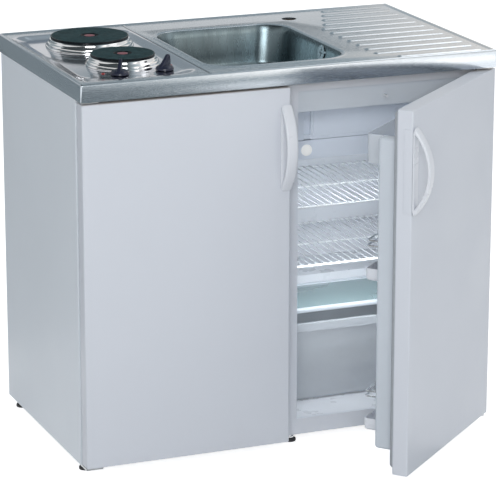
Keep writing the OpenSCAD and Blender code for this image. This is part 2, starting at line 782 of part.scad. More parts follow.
module fascia() color("white") difference() {
  block([cav_x[0], frame_back - 2, cav_top], [cav_x[1], frame_back, frame_open_top]);
  rod_y([switch_x, frame_back - 3, switch_z], 4, switch_r + pin_clear);
}

// Plunger that the closed door pushes in
module light_switch() color("whitesmoke")
  rod_y([switch_x, door_back + 0.6, switch_z], frame_back + 12 - door_back, switch_r);

module freezer_box() color("silver") {
  x = [cav_x[0] + 6, cav_x[1] - 6];
  y0 = inner_front + 8;
  z = freezer_z;
  difference() {
    block([x[0], y0, z[0]], [x[1], cav_back - 20, z[1]]);
    block([x[0] + 2, y0 - 1, z[0] + 2], [x[1] - 2, cav_back - 22, z[1] - 2]);
  }
  for (px = [x[0] + 20, x[1] - 40], py = [y0 + 20, cav_back - 60])
    block([px, py, z[1]], [px + 20, py + 20, cav_top]);
  for (px = [x[0], x[1] - 2]) difference() {
    block([px, flap_axis[0] - 7, z[0]], [px + 2, y0 + 1, z[0] + 14]);
    rod_x([px - 1, flap_axis[0], flap_axis[1]], 4, flap_pin_r + pin_clear);
  }
}

module freezer_flap() color("lightcyan") {
  x = [cav_x[0] + 9, cav_x[1] - 9];
  a = flap_axis;
  difference() {
    block([x[0], a[0] - 5, a[1] - 5], [x[1], a[0] + 5, freezer_z[1] - 1]);
    block([x[0] + 49, a[0] - 6, a[1] + 8], [x[0] + 66, a[0] + 2, freezer_z[1] - 12]);
    block([x[0] + 74, a[0] - 3, a[1] + 8], [x[1] - 8, a[0] + 6, freezer_z[1] - 8]);
  }
  rod_x([x[0] - 3, a[0], a[1]], x[1] - x[0] + 6, flap_pin_r);
}

module control_housing() color("white") {
  x = [cav_x[0] + 6, cav_x[1] - 6];
  z1 = freezer_z[0];
  y0 = housing_face;
  difference() {
    union() {
      block([x[0], y0, z1 - housing_h], [x[1], y0 + 66, z1 - 2.5]);
      block([x[0], y0 + 16, z1 - 2.5], [x[1], y0 + 60, z1]);
    }
    rod_y([lamp_at[0], y0 - 1, lamp_at[1]], 46, 10);
    rod_y([dial_at[0], y0 - 1, dial_at[1]], 20, shaft_r + pin_clear);
  }
}

module lamp() color("lemonchiffon") {
  y0 = housing_face;
  rod_y([lamp_at[0], y0 - 2.5, lamp_at[1]], 2.5, 12);
  rod_y([lamp_at[0], y0 + 14, lamp_at[1]], 31, 7);
  translate([lamp_at[0], y0 + 14, lamp_at[1]]) sphere(8);
}

module thermostat_dial() color("white") {
  y0 = housing_face;
  rod_y([dial_at[0], y0 - 11, dial_at[1]], 10.6, 16);
  rod_y([dial_at[0], y0 - 1, dial_at[1]], 18, shaft_r);
  block([dial_at[0] - 2, y0 - 12.5, dial_at[1] + 3], [dial_at[0] + 2, y0 - 11, dial_at[1] + 15]);
}

module wire_shelf(z) {
  x = [cav_x[0] + 2, cav_x[1] - 2];
  y = [inner_front, cav_back - 6];
  wire_n = 22;
  for (py = [y[0] + 2.5, (y[0] + y[1]) / 2, y[1] - 2.5]) rod_x([x[0], py, z - 1.5], x[1] - x[0], 2.5);
  for (px = [x[0] + 2.5, x[1] - 2.5]) rod_y([px, y[0] + 2.5, z - 1.5], y[1] - y[0] - 5, 2.5);
  for (i = [1 : wire_n]) {
    px = x[0] + 2.5 + i * (x[1] - x[0] - 5) / (wire_n + 1);
    rod_y([px, y[0] + 1, z + 1.6], y[1] - y[0] - 2, 1.4);
  }
}

module upper_shelf() color("white") wire_shelf(upper_shelf_z);

module lower_shelf() color("white") wire_shelf(lower_shelf_z);

module glass_shelf() color("paleturquoise", 0.6)
  block([cav_x[0] + 2, inner_front + 4, glass_z - 2], [cav_x[1] - 2, hump_y - 4, glass_z + 2]);

module shelf_trims() color("white") difference() {
  for (y = [[inner_front, inner_front + 14], [hump_y - 14, hump_y - 1]])
    block([cav_x[0] + 10, y[0], glass_z - 5], [cav_x[1] - 10, y[1], glass_z + 5]);
  block([cav_x[0] + 1, inner_front + 4, glass_z - 2], [cav_x[1] - 1, hump_y - 4, glass_z + 2]);
}

module crisper_drawer() color("aliceblue", 0.5) {
  x = [cav_x[0] + 10, cav_x[1] - 10];
  y = [inner_front + 6, hump_y - 8];
  z0 = cav_z0 + 2 + fit;
  t = 2.5;
  difference() {
    block([x[0], y[0], z0], [x[1], y[1], z0 + drawer_h]);
    block([x[0] + t, y[0] + t, z0 + t], [x[1] - t, y[1] - t, z0 + drawer_h + 1]);
  }
  block([x[0], y[0] - 6, z0 + drawer_h - 22], [x[1], y[0], z0 + drawer_h]);
}

// Hermetic pot on four rubber feet, on the floor sheet of the niche
module compressor() color("dimgray") {
  c = [fridge_x[1] - 150, (niche_y + body_back) / 2 + 2];
  floor_t = 3;
  pad_h = 10;
  z = foot_h + floor_t + pad_h;
  block([fridge_x[0] + casing_t, niche_y + casing_t, foot_h],
        [fridge_x[1] - casing_t, body_back, foot_h + floor_t]);
  for (dx = [-60, 60], dy = [-60, 60]) rod_z([c[0] + dx, c[1] + dy, foot_h + floor_t], pad_h, 10);
  block([c[0] - 74, c[1] - 72, z], [c[0] + 74, c[1] + 72, z + 3]);
  translate([c[0], c[1], z + 3]) rotate_extrude() polygon([
    [0, 0], [66, 0], [74, 10], [76, 40], [78, 44], [78, 48],
    [76, 52], [74, 92], [62, 112], [34, 122], [0, 125]
  ]);
}

// Serpentine tube with upright wires in front of it, on four brackets
module condenser() color("black") {
  tube_r = 2.5;
  wire_r = 1;
  wire_n = 16;
  rows = 10;
  pitch = 44;
  y = body_back + 12;
  x = [fridge_x[0] + 60, fridge_x[1] - 60];
  z0 = niche_z + 60;
  height = (rows - 1) * pitch;
  for (i = [0 : rows - 1]) rod_x([x[0], y, z0 + i * pitch], x[1] - x[0], tube_r);
  for (i = [0 : rows - 2]) translate([i % 2 == 0 ? x[1] : x[0], y, z0 + (i + 0.5) * pitch])
    rotate([90, 0, 0]) rotate([0, 0, i % 2 == 0 ? -90 : 90])
      rotate_extrude(angle = 180) translate([pitch / 2, 0]) circle(tube_r);
  wire_pitch = (x[1] - x[0] - 40) / (wire_n - 1);
  for (i = [0 : wire_n - 1])
    rod_z([x[0] + 20 + i * wire_pitch, y - tube_r - 0.8, z0 - 8], height + 16, wire_r);
  for (px = [x[0] + 20, x[1] - 20], pz = [z0 + 4, z0 + height - pitch + 4])
    block([px - 5, body_back, pz], [px + 5, y + tube_r + 1, pz + 12]);
}

// ---------- refrigerator door ----------

module fridge_door_shell() color("lavender") on_fridge_door() door_shell(fridge_door_x, fridge_pin_x);

module fridge_door_foam() color("khaki") on_fridge_door() {
  s = door_skin;
  x = fridge_door_x;
  difference() {
    block([x[0] + s, door_face + s, door_z0 + s], [x[1] - s, door_back - 2, door_z1 - s]);
    rod_z([fridge_pin_x, pin_y, door_z0 - 1], door_z1 - door_z0 + 2, hinge_pin_r + pin_clear);
  }
}

// Flat inner skin with two upright ridges and a sill between them
module fridge_door_liner() color("white") on_fridge_door() {
  s = door_skin;
  x = fridge_door_x;
  block([x[0] + s, door_back - 2, door_z0 + s], [x[1] - s, door_back, door_z1 - s]);
  for (dx = [dyke_x[0], dyke_x[1] - dyke_w])
    block([dx, door_back, dyke_z[0]], [dx + dyke_w, door_back + dyke_out, dyke_z[1]]);
  block([dyke_x[0] + dyke_w, door_back, dyke_z[0]],
        [dyke_x[1] - dyke_w, door_back + dyke_out, dyke_z[0] + 14]);
}

module door_gasket() color("darkgray") on_fridge_door() difference() {
  w = 14;
  x = [fridge_x[0] + 12, fridge_pin_x - 3];
  z = [foot_h + 13, body_top - 12];
  block([x[0], door_back, z[0]], [x[1], frame_front - 1, z[1]]);
  block([x[0] + w, door_back - 1, z[0] + w], [x[1] - w, frame_front, z[1] - w]);
}

// Open tray held between the two ridges of the door liner
module door_tray(z, h) {
  y = [door_back, door_back + rack_out];
  t = rack_t;
  difference() {
    block([rack_x[0], y[0], z], [rack_x[1], y[1], z + h]);
    block([rack_x[0] + t, y[0] + t, z + t], [rack_x[1] - t, y[1] - t, z + h + 1]);
  }
}

module door_balcony() color("aliceblue", 0.5) on_fridge_door() door_tray(balcony_z, balcony_h);

// Two racks, each with a round rail above it
module door_racks() color("white") on_fridge_door() for (z = rack_z) {
  door_tray(z, rack_h);
  y = door_back + rack_out - 3;
  rod_x([rack_x[0] + 0.5, y, z + rack_rail_up], rack_x[1] - rack_x[0] - 1, rack_rail_r);
  for (x = [rack_x[0] + rack_rail_r + 0.5, rack_x[1] - rack_rail_r - 0.5])
    rod_y([x, door_back, z + rack_rail_up], y - door_back, rack_rail_r);
}

module fridge_handle() color("whitesmoke") on_fridge_door() handle(fridge_door_x[0], 1);

module foot(x, y) {
  rod_z([x, y, 0], 8, 14);
  rod_z([x, y, 8], 5, 9);
  rod_z([x, y, 13], foot_h - 13, 5);
}

module fridge_hinges() color("silver") hinge_pair(fridge_pin_x, [x_right - 45, x_right - 5], frame_front);

module feet() color("dimgray")
  for (x = [x_left + 22, 24, x_right - 22], y = [-(unit_d - 75), body_back - 36]) foot(x, y);

worktop();
worktop_frame();
sink_bowl();
waste_strainer();
waste_body();
waste_plug();
bottle_trap();
trap_outlet();
overflow_rosette();
overflow_pipe();
rear_hotplate();
front_hotplate();
rear_spill_ring();
front_spill_ring();
hotplate_clamps();
hob_underpan();
energy_regulators();
left_knob();
right_knob();
left_shaft();
right_shaft();
pilot_lamps();
terminal_box();
side_panel();
partition();
base_panel();
back_panel();
top_rails();
cupboard_shelf();
cupboard_door_shell();
cupboard_door_liner();
cupboard_handle();
cupboard_fittings();
fridge_casing();
fridge_foam();
fridge_liner();
front_frame();
fascia();
light_switch();
freezer_box();
freezer_flap();
control_housing();
thermostat_dial();
lamp();
upper_shelf();
lower_shelf();
glass_shelf();
shelf_trims();
crisper_drawer();
compressor();
condenser();
fridge_door_shell();
fridge_door_foam();
fridge_door_liner();
door_gasket();
door_balcony();
door_racks();
fridge_handle();
fridge_hinges();
feet();
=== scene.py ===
import bmesh
import bpy
import json
import math
from mathutils import Matrix, Vector, geometry


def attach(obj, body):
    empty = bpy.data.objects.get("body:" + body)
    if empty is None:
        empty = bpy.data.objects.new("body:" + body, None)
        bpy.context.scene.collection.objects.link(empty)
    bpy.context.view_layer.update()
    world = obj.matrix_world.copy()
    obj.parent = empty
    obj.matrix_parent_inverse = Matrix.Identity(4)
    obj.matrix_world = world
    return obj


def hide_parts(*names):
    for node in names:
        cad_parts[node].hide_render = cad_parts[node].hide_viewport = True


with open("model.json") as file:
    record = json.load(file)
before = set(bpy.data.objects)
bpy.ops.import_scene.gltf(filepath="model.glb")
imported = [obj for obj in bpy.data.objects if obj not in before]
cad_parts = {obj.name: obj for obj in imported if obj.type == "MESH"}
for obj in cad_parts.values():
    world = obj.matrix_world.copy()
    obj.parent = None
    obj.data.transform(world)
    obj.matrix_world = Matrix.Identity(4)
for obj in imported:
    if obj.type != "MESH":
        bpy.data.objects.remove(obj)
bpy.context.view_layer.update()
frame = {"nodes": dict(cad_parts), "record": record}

MM = 0.001
PIN = (480.0, -575.0)          # hinge line of the refrigerator door
DOOR_OPEN = 42.0               # angle at which that door stands
TOP = 900.0                    # worktop surface
SKIRT_H = 38.0                 # height of the worktop's skirt
TRAY_Z = 890.0                 # floor of the hob tray
BOWL_Z = 800.0                 # floor of the bowl


# ---------- materials ----------

M = {}                         # the materials by name
PLASTIC_IOR = 1.45
GRAIN_X = (1.0, 40.0, 40.0)    # grain that runs along X


def noise(nt, scale, stretch=(1, 1, 1), detail=4.0):
    """Noise in the object's coordinates, with its own stretch along X, Y and Z."""
    co = nt.nodes.new("ShaderNodeTexCoord")
    mp = nt.nodes.new("ShaderNodeMapping")
    mp.inputs["Scale"].default_value = stretch
    tx = nt.nodes.new("ShaderNodeTexNoise")
    tx.inputs["Scale"].default_value = scale
    tx.inputs["Detail"].default_value = detail
    tx.inputs["Roughness"].default_value = 0.5
    nt.links.new(co.outputs["Object"], mp.inputs["Vector"])
    nt.links.new(mp.outputs["Vector"], tx.inputs["Vector"])
    return tx.outputs["Fac"]


def span(nt, fac, lo, hi):
    """The middle of the noise, spread from lo to hi."""
    mr = nt.nodes.new("ShaderNodeMapRange")
    mr.inputs["From Min"].default_value = 0.3
    mr.inputs["From Max"].default_value = 0.7
    mr.inputs["To Min"].default_value = lo
    mr.inputs["To Max"].default_value = hi
    nt.links.new(fac, mr.inputs["Value"])
    return mr.outputs["Result"]


def mixed(nt, fac, a, b):
    mx = nt.nodes.new("ShaderNodeMix")
    mx.data_type = "RGBA"
    mx.inputs["A"].default_value = (*a, 1)
    mx.inputs["B"].default_value = (*b, 1)
    nt.links.new(fac, mx.inputs["Factor"])
    return mx.outputs["Result"]


def bumped(nt, bs, fac, dist):
    bp = nt.nodes.new("ShaderNodeBump")
    bp.inputs["Distance"].default_value = dist
    bp.inputs["Strength"].default_value = 1.0
    nt.links.new(fac, bp.inputs["Height"])
    nt.links.new(bp.outputs["Normal"], bs.inputs["Normal"])


def material(name, col, rough, metal, var, scale, stretch=(1, 1, 1), bump=0.0, bscale=400.0,
             bstretch=(1, 1, 1), rvar=0.06, coat=0.0, alpha=1.0, aniso=0.0, spec=0.5, glow=0.0):
    """Colour and roughness vary with noise by var and rvar; bump is a height in metres."""
    m = M[name] = bpy.data.materials.new(name)
    m.use_nodes = True
    nt = m.node_tree
    bs = nt.nodes["Principled BSDF"]
    dark = tuple(c * (1 - var) for c in col)
    light = tuple(min(1.0, c * (1 + var)) for c in col)
    tint = span(nt, noise(nt, scale, stretch), 0, 1)
    nt.links.new(mixed(nt, tint, dark, light), bs.inputs["Base Color"])
    nt.links.new(span(nt, noise(nt, scale * 3, stretch), max(0.02, rough - rvar), rough + rvar),
                 bs.inputs["Roughness"])
    bs.inputs["Metallic"].default_value = metal
    bs.inputs["Coat Weight"].default_value = coat
    bs.inputs["IOR"].default_value = PLASTIC_IOR
    bs.inputs["Alpha"].default_value = alpha
    bs.inputs["Anisotropic"].default_value = aniso
    bs.inputs["Specular IOR Level"].default_value = spec
    bs.inputs["Emission Color"].default_value = (*col, 1)
    bs.inputs["Emission Strength"].default_value = glow
    if bump:
        bumped(nt, bs, noise(nt, bscale, bstretch, 3.0), bump)


# metals
material("worktop_steel", (0.575, 0.62, 0.665), 0.25, 1.0, 0.05, 14, GRAIN_X, 0.00004, 60, GRAIN_X, 0.05,
         aniso=0.4)
material("tray_steel", (0.62, 0.64, 0.69), 0.13, 1.0, 0.04, 10, GRAIN_X, rvar=0.03)
# Bowl steel: the worktop's steel painted much darker, as painted shade for the dark reflections inside the
# bowl; its tone varies in upright streaks.
material("bowl_steel", (0.175, 0.225, 0.245), 0.27, 1.0, 0.16, 3, (8, 8, 1), rvar=0.04)
material("polished_steel", (0.80, 0.81, 0.82), 0.10, 1.0, 0.03, 30, rvar=0.03)
# Rosette steel: polished steel given a dark tone, painted shade for the dark reflections in the overflow
# rosette.
material("rosette_steel", (0.26, 0.29, 0.31), 0.22, 1.0, 0.08, 60, rvar=0.04)
material("zinc_steel", (0.55, 0.56, 0.57), 0.38, 1.0, 0.14, 60, bump=0.0001)
material("freezer_sheet", (0.70, 0.74, 0.78), 0.35, 0.6, 0.04, 20, GRAIN_X, 0.00008)
# hob
material("plate_iron", (0.030, 0.062, 0.068), 0.50, 0.0, 0.30, 90, bump=0.00015, bscale=1500, spec=0.02)
material("plate_edge", (0.008, 0.011, 0.014), 0.25, 0.0, 0.15, 90, spec=0.25)
material("plate_dot", (0.30, 0.11, 0.13), 0.5, 0.0, 0.15, 300, spec=0.2)
material("knob_plastic", (0.018, 0.022, 0.045), 0.30, 0.0, 0.15, 80, bump=0.00004, bscale=2500)
material("lamp_red", (0.30, 0.03, 0.03), 0.15, 0.0, 0.12, 200, coat=0.6)
# boards and paint
material("frame_board", (0.45, 0.33, 0.20), 0.75, 0.0, 0.30, 220, (1, 1, 3), 0.0005, 500)
material("white_board", (0.735, 0.775, 0.825), 0.45, 0.0, 0.012, 3, bump=0.00004, bscale=1500, spec=0.3)
material("door_paint", (0.655, 0.68, 0.735), 0.42, 0.0, 0.012, 2.5, bump=0.00008, bscale=420, spec=0.3)
material("black_paint", (0.018, 0.018, 0.02), 0.40, 0.0, 0.15, 40, bump=0.0001, bscale=500)
# plastics, rubber and glass
material("white_plastic", (0.73, 0.75, 0.795), 0.30, 0.0, 0.02, 8, bump=0.00005, bscale=900)
material("cool_plastic", (0.78, 0.84, 0.93), 0.34, 0.0, 0.02, 8, bump=0.00005, bscale=900)
material("liner_plastic", (0.60, 0.645, 0.70), 0.38, 0.0, 0.02, 8, bump=0.00005, bscale=900)
material("pipe_plastic", (0.74, 0.75, 0.73), 0.38, 0.0, 0.04, 30, bump=0.00006, bscale=900)
material("grey_plastic", (0.40, 0.41, 0.43), 0.45, 0.0, 0.05, 40, bump=0.00008, bscale=1200)
material("black_plastic", (0.02, 0.02, 0.024), 0.45, 0.0, 0.15, 60, bump=0.00008, bscale=1200)
material("plug_rubber", (0.03, 0.03, 0.034), 0.55, 0.0, 0.15, 80, bump=0.0001, bscale=900)
material("seal_rubber", (0.36, 0.38, 0.41), 0.55, 0.0, 0.05, 60, bump=0.0001, bscale=800)
material("foam", (0.70, 0.60, 0.36), 0.85, 0.0, 0.12, 120, bump=0.0008, bscale=700)
material("shelf_wire", (0.84, 0.86, 0.89), 0.28, 0.0, 0.03, 50, coat=0.4)
material("shelf_glass", (0.35, 0.475, 0.50), 0.08, 0.0, 0.05, 6, alpha=0.55, rvar=0.03)
material("clear_plastic", (0.78, 0.82, 0.87), 0.12, 0.0, 0.03, 10, alpha=0.40, rvar=0.03)
material("lamp_glass", (0.93, 0.93, 0.90), 0.25, 0.0, 0.02, 40, glow=0.2)

slot_of = {s["node"]: s["material_slot"] for s in frame["record"]["subparts"]}
# The fascia takes the darker liner plastic as painted shade, so that it matches the freezer flap lying in
# shadow behind it; the rosette's darker steel is painted shade too.
shade_of = {"overflow_rosette": "rosette_steel", "fascia": "liner_plastic"}
for node, o in frame["nodes"].items():
    o.data.materials.clear()
    o.data.materials.append(M[shade_of.get(node, slot_of[node])])


# ---------- mesh helpers, in millimetres ----------

def opened(v):
    """A point of the closed refrigerator door, in the place where the door stands."""
    a = math.radians(DOOR_OPEN)
    c, s = math.cos(a), math.sin(a)
    dx, dy = v[0] - PIN[0], v[1] - PIN[1]
    return PIN[0] + dx * c - dy * s, PIN[1] + dx * s + dy * c, v[2]


def piece(name, parts, mat, body="unit", stands_for=(), sharp=32, door=False):
    """One named object of several (verts, faces) parts; door says they are drawn on the closed door."""
    bm = bmesh.new()
    for verts, faces in parts:
        vs = [bm.verts.new(Vector(opened(v) if door else v) * MM) for v in verts]
        for f in faces:
            bm.faces.new([vs[i] for i in f])
    bmesh.ops.remove_doubles(bm, verts=bm.verts, dist=2e-6)
    bmesh.ops.recalc_face_normals(bm, faces=bm.faces)
    me = bpy.data.meshes.new(name)
    bm.to_mesh(me)
    bm.free()
    o = bpy.data.objects.new(name, me)
    bpy.context.scene.collection.objects.link(o)
    me.materials.append(M[mat])
    for p in me.polygons:
        p.use_smooth = True
    me.set_sharp_from_angle(angle=math.radians(sharp))
    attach(o, body)
    if stands_for:
        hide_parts(*stands_for)


def rrect(x, y, r, z, n=10):
    """Ring round a rectangle; r is one radius, or front left, front right, rear right, rear left."""
    r = [r] * 4 if isinstance(r, (int, float)) else r
    out = []
    for cx, cy, a0, q in ((x[0] + r[0], y[0] + r[0], 180, r[0]), (x[1] - r[1], y[0] + r[1], 270, r[1]),
                          (x[1] - r[2], y[1] - r[2], 0, r[2]), (x[0] + r[3], y[1] - r[3], 90, r[3])):
        for i in range(n + 1):
            a = math.radians(a0 + 90 * i / n)
            out.append((cx + q * math.cos(a), cy + q * math.sin(a), z))
    return out


def grown(x, y, g):
    return [x[0] - g, x[1] + g], [y[0] - g, y[1] + g]


def circle(c, r, z, n):
    return [(c[0] + r * math.cos(2 * math.pi * i / n), c[1] + r * math.sin(2 * math.pi * i / n), z)
            for i in range(n)]


def loft(rings, low=False, high=False, loop=False):
    """Skin over rings of equal length, closed at the low or high end, or back to the first ring."""
    n = len(rings[0])
    verts = [p for ring in rings for p in ring]
    faces = []
    for k in range(len(rings) if loop else len(rings) - 1):
        a, b = k * n, ((k + 1) % len(rings)) * n
        for i in range(n):
            j = (i + 1) % n
            faces.append((a + i, a + j, b + j, b + i))
    if low:
        faces.append(tuple(range(n - 1, -1, -1)))
    if high:
        faces.append(tuple(range((len(rings) - 1) * n, len(rings) * n)))
    return verts, faces


def flat(*loops):
    """Plane face inside the first loop and outside the others."""
    tris = geometry.tessellate_polygon([[Vector(p) for p in lp] for lp in loops])
    return [p for lp in loops for p in lp], [tuple(t) for t in tris]


def turned(c, profile, n):
    """Body of revolution about a vertical line, from (radius, height) pairs."""
    return loft([circle(c, r, z, n) for r, z in profile])


def along_y(x, z, y0, profile, n):
    """Body of revolution about a line along Y; the profile is (radius, distance in front of y0)."""
    rings = [[(x + r * math.cos(2 * math.pi * i / n), y0 - d, z + r * math.sin(2 * math.pi * i / n))
              for i in range(n)] for r, d in profile]
    return loft(rings)


def raised(x, y, r, steps, n):
    """Low relief on the worktop, from (inset, height) pairs."""
    return loft([rrect(*grown(x, y, -d), max(0.05, r - d), TOP + h, n) for d, h in steps], False, True)


def slab(x, y, z, r, edge, n=6, m=4):
    """Block with round upright corners and soft top and bottom edges."""
    rings = []
    for k in range(m + 1):
        a = math.pi / 2 * k / m
        inset = edge * (1 - math.sin(a))
        rings.append(rrect(*grown(x, y, -inset), max(0.2, r - inset), z[0] + edge * (1 - math.cos(a)), n))
    top = [[(p[0], p[1], z[0] + z[1] - p[2]) for p in ring] for ring in reversed(rings)]
    return loft(rings + top, True, True)


def upright(x, y, z, r, edge):
    """The same with its round corners seen from the front: a panel in X and Z, with soft edges in Y."""
    v, f = slab(x, z, y, r, edge)
    return [(p[0], p[2], p[1]) for p in v], f


def rod(path, r, n=10):
    """Round wire along a path, with closed ends."""
    pts = [Vector(p) for p in path]
    rings = []
    side = None
    for i, p in enumerate(pts):
        d = (pts[min(i + 1, len(pts) - 1)] - pts[max(i - 1, 0)]).normalized()
        if side is None:
            side = d.orthogonal().normalized()
        side = (side - d * side.dot(d)).normalized()
        up = d.cross(side)
        turns = [2 * math.pi * k / n for k in range(n)]
        rings.append([tuple(p + (side * math.cos(t) + up * math.sin(t)) * r) for t in turns])
    return loft(rings, True, True)


def bent(points, r, n=6):
    """A path with its corners rounded."""
    pts = [Vector(p) for p in points]
    out = [pts[0]]
    for a, b, c in zip(pts, pts[1:], pts[2:]):
        u, w = (a - b).normalized(), (c - b).normalized()
        for i in range(n + 1):
            t = i / n
            out.append((b + u * r) * (1 - t) ** 2 + b * (2 * t * (1 - t)) + (b + w * r) * t ** 2)
    out.append(pts[-1])
    return out


def tub(x, y, z, t, r, edge, lean=0.0):
    """Open tray with wall thickness t, whose walls lean in by lean at the floor."""
    rings = [rrect(*grown(x, y, -edge - lean), max(0.5, r - edge), z[0]),
             rrect(*grown(x, y, -edge * 0.3 - lean), r, z[0] + edge * 0.3),
             rrect(*grown(x, y, -lean), r, z[0] + edge),
             rrect(x, y, r, z[1] - 1.0),
             rrect(*grown(x, y, -t * 0.5), max(0.5, r - t * 0.5), z[1]),
             rrect(*grown(x, y, -t), max(0.5, r - t), z[1] - 0.6),
             rrect(*grown(x, y, -t - lean), max(0.5, r - t), z[0] + t + edge),
             rrect(*grown(x, y, -t - edge - lean), max(0.5, r - t - edge), z[0] + t)]
    return loft(rings, True, True)


# ---------- worktop ----------

top_x, top_y, top_r = (-500.0, 500.0), (-600.0, 0.0), 5.0
bowl_x, bowl_y, bowl_r = (-165.0, 165.0), (-530.0, -118.0), 65.0
rim_w = 13                                     # width of the rolled rim round the bowl
tray_x, tray_y = (-487.0, -198.0), (-567.0, -42.0)
floor_x, floor_y = (-450.0, -222.0), (-506.0, -53.0)
tray_r, floor_r = [14, 60, 40, 40], [75, 55, 32, 32]
tray_lip = 3                                   # the tray's wall starts this far outside its outline
rear_at, rear_d = (-326.0, -156.0), 180.0
front_at, front_d = (-323.0, -373.0), 145.0
knobs = ((-367.0, -478.0), (-258.0, -468.0))
lamps = ((-398.0, -455.0), (-229.0, -426.0))
tap, tap_r = (206.0, -80.0), 17.5
waste, drain_r = (-85.0, -330.0), 26

# inset and height of the skirt, its folded lower edge and the bead along the rim
edge_steps = ((1.5, -3), (1.5, 1.2 - SKIRT_H), (0.9, 0.1 - SKIRT_H), (0.4, -SKIRT_H), (0, 0.8 - SKIRT_H),
              (0, -2.4), (0.2, -0.4), (0.9, 1.2), (2.1, 2.3), (3.6, 2.9), (5.6, 3), (7.4, 2.7), (9.2, 1.8),
              (10.8, 0.8), (12.6, 0.2), (15, 0))
edge = [rrect(*grown(top_x, top_y, -d), max(0.4, top_r - d), TOP + h, 5) for d, h in edge_steps]
bowl_hole = rrect(*grown(bowl_x, bowl_y, rim_w), bowl_r + rim_w, TOP, 16)
tap_ring = circle(tap, tap_r, TOP, 48)
tray_top = rrect(*grown(tray_x, tray_y, tray_lip), [r + tray_lip for r in tray_r], TOP, 14)
top_parts = [loft(edge), flat(edge[-1], bowl_hole, tap_ring, tray_top),
             loft([tap_ring, circle(tap, tap_r, TOP - 4, 48)])]

# hob tray: its soft wall runs from the rim's outline to that of the floor
wall = [tray_top]
wall_steps = 14
for k in range(1, wall_steps + 1):
    t = k / wall_steps
    fall = min(1, t * 1.05)
    wall.append(rrect([a + (b - a) * t for a, b in zip(tray_x, floor_x)],
                      [a + (b - a) * t for a, b in zip(tray_y, floor_y)],
                      [a + (b - a) * t for a, b in zip(tray_r, floor_r)],
                      TOP - (TOP - TRAY_Z) * fall * fall * (3 - 2 * fall), 14))
plate_lap, small_hole_r = 6, 4                 # how far a plate covers its hole; holes for knobs and lamps
holes = [circle(at, d / 2 - plate_lap, TRAY_Z, 64) for at, d in ((rear_at, rear_d), (front_at, front_d))]
holes += [circle(p, small_hole_r, TRAY_Z, 24) for p in knobs + lamps]
piece("hob_tray", [loft(wall), flat(wall[-1], *holes)], "tray_steel", sharp=60)

# drainer: the four rear ribs start further right, to leave room for the tap, and so does the front one
rib_x, rib_first, rib_pitch, rib_half = (226, 474), -30, 49.5, 8
rib_steps = ((-1.5, 0), (0, 0.35), (1.6, 1.5), (3.4, 2.5), (5.4, 2.95), (7.9, 3.0))
for i, shorter in enumerate([84, 64, 44, 24] + [0] * 7 + [36]):
    y = rib_first - i * rib_pitch
    rib_y = (y - rib_half, y + rib_half)
    top_parts.append(raised((rib_x[0] + shorter, rib_x[1]), rib_y, rib_half, rib_steps, 8))

# bead between the hob and the bowl, and beside it a black strip on the folded seam: its darkness is painted
# shade for the seam's groove
join_y = (-585, -10)
bead_x, groove_shade_x = (-192.6, -187.4), (-195.4, -193.8)
bead_steps = ((-0.6, 0), (0, 0.3), (0.9, 1.1), (1.8, 1.45), (2.55, 1.5))
top_parts.append(raised(bead_x, join_y, 2.6, bead_steps, 5))

# bowl: rolled rim, leaning walls, round lower edge and floor
rim_steps = ((rim_w, 0), (12, 0.5), (10.4, 1.2), (8.4, 1.6), (6, 1.4), (3.4, 0.5), (1.2, -1.3), (-0.5, -4))
bowl_rings = [rrect(*grown(bowl_x, bowl_y, g), bowl_r + g, TOP + h, 16) for g, h in rim_steps]
wall_in, wall_z = rim_steps[-1][0], TOP + rim_steps[-1][1]   # where the rim passes into the wall
lean, cove_in, cove_w, cove_h = 14, -12.6, 17.5, 17.2        # the cove is the round lower edge
for t in (0.15, 0.4, 0.65, 0.82):
    bowl_rings.append(rrect(*grown(bowl_x, bowl_y, wall_in - lean * t), bowl_r - 4 * t,
                            wall_z - (wall_z - BOWL_Z) * t, 16))
for k in range(1, 8):
    a = math.pi / 2 * k / 7
    inward = 1 - math.cos(a)
    bowl_rings.append(rrect(*grown(bowl_x, bowl_y, cove_in - cove_w * inward), bowl_r - 5 - 12 * inward,
                            BOWL_Z + cove_h * (1 - math.sin(a)), 16))
rim_end = 6                                    # the ring where the rim's brushed steel ends
top_parts.append(loft(bowl_rings[:rim_end + 1]))
piece("steel_top", top_parts, "worktop_steel", stands_for=("worktop",), sharp=40)
# Black strip along the seam: painted shade for the groove between the hob and the bowl.
piece("hob_groove_shade", [slab(groove_shade_x, join_y, (TOP - 0.4, TOP + 0.3), 0.7, 0.2, 3)], "black_plastic")
drain = circle(waste, drain_r, BOWL_Z, 48)
# The bowl's walls and floor take the darker bowl steel, painted shade for the dark reflections inside the
# bowl.
piece("bowl_shell", [loft(bowl_rings[rim_end:]), flat(bowl_rings[-1], drain),
                     loft([drain, circle(waste, drain_r, BOWL_Z - 1, 48)])],
      "bowl_steel", stands_for=("sink_bowl",), sharp=50)
dish = ((0, 2.2), (8, 2.2), (21, 1.2), (26, 1.8), (31, 2), (34.4, 1.2), (35, 0.1), (26, 0.1), (25.4, -13),
        (0, -13))
piece("strainer_dish", [turned(waste, [(r, BOWL_Z + h) for r, h in dish], 64)], "polished_steel",
      stands_for=("waste_strainer",))


# ---------- hob ----------

PLATE_H, RING_H = 26, 20                       # above the tray's floor


